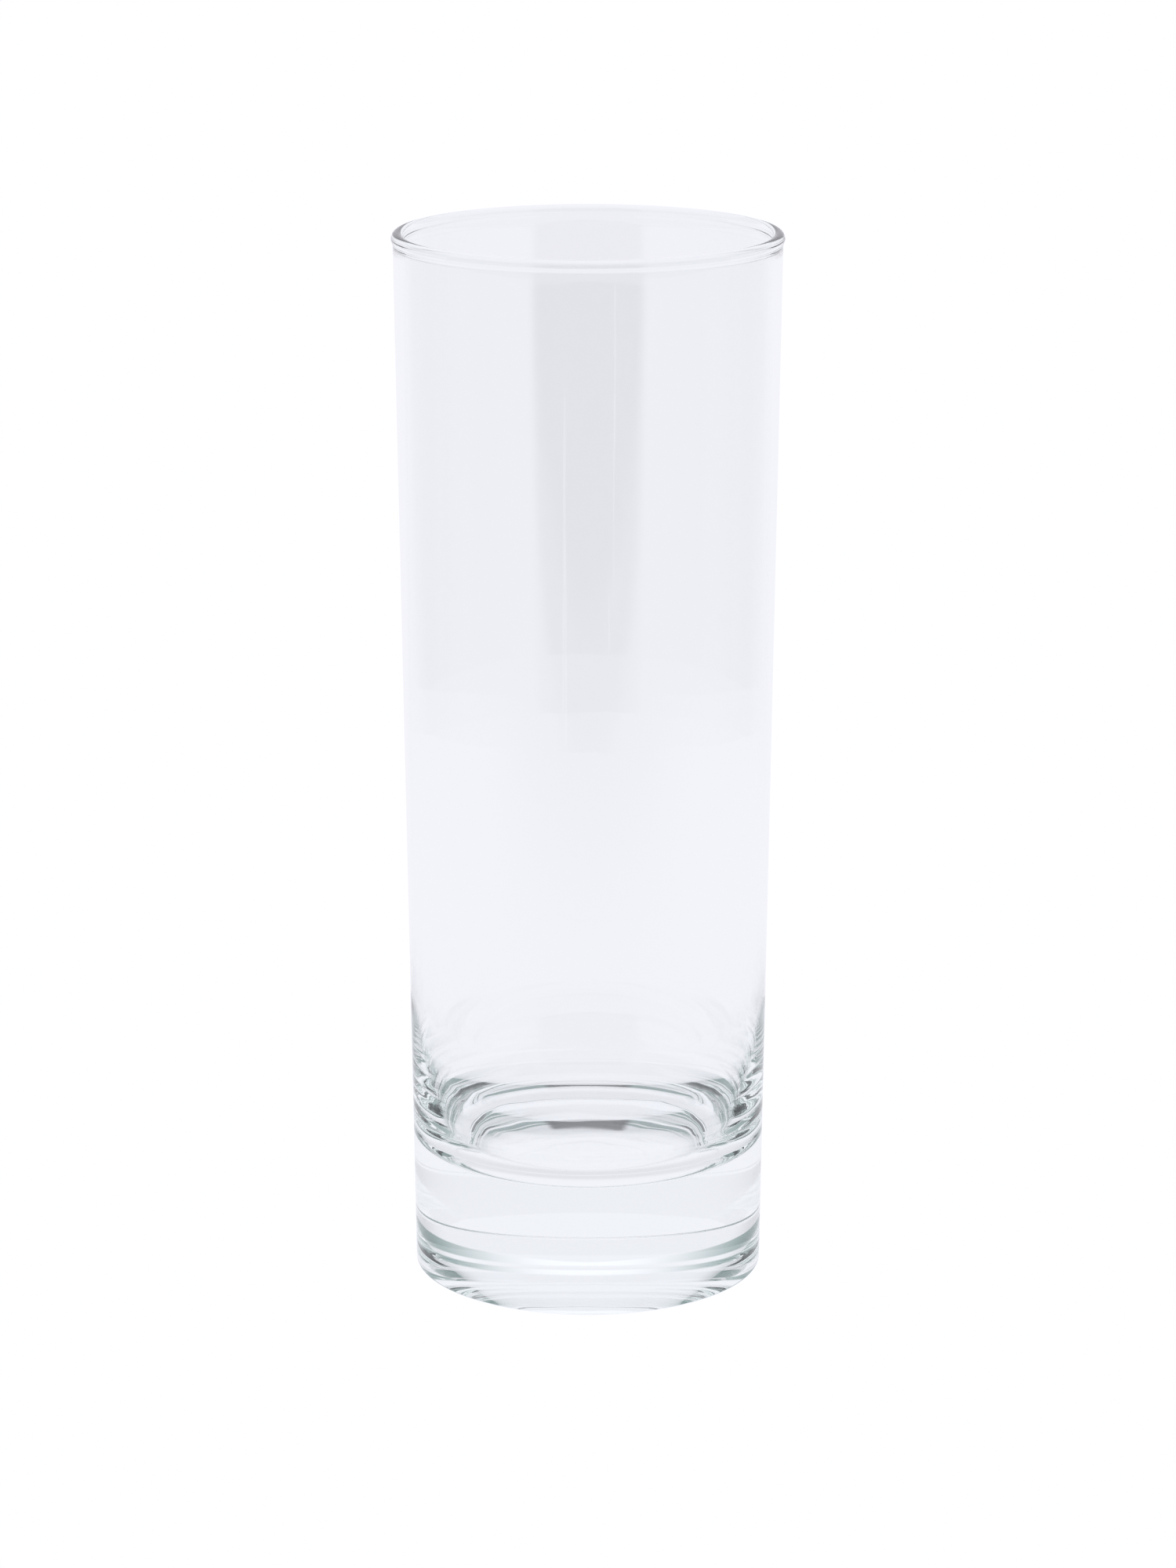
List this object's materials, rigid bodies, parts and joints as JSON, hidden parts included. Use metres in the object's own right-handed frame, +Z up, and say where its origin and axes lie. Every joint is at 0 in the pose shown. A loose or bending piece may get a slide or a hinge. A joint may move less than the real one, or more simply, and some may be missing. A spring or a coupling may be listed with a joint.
{
  "type": "glass cylinder vase",
  "caption": "Clear glass cylinder vase, a little wider at the mouth, with a rounded rim, a thick solid base and a well-rounded inside corner, for cut stems in water.",
  "frame": {"origin": "centre of the foot, on the surface the vase stands on", "axes": "+Z up along the axis of revolution, X and Y level"},
  "size_m": [0.0654, 0.0654, 0.18],
  "materials": {
    "clear_glass": "polished clear soda-lime glass, faintly blue-green where it is thick"
  },
  "bodies": {
    "root": {"glass_body": "clear_glass"}
  },
  "joints": []
}
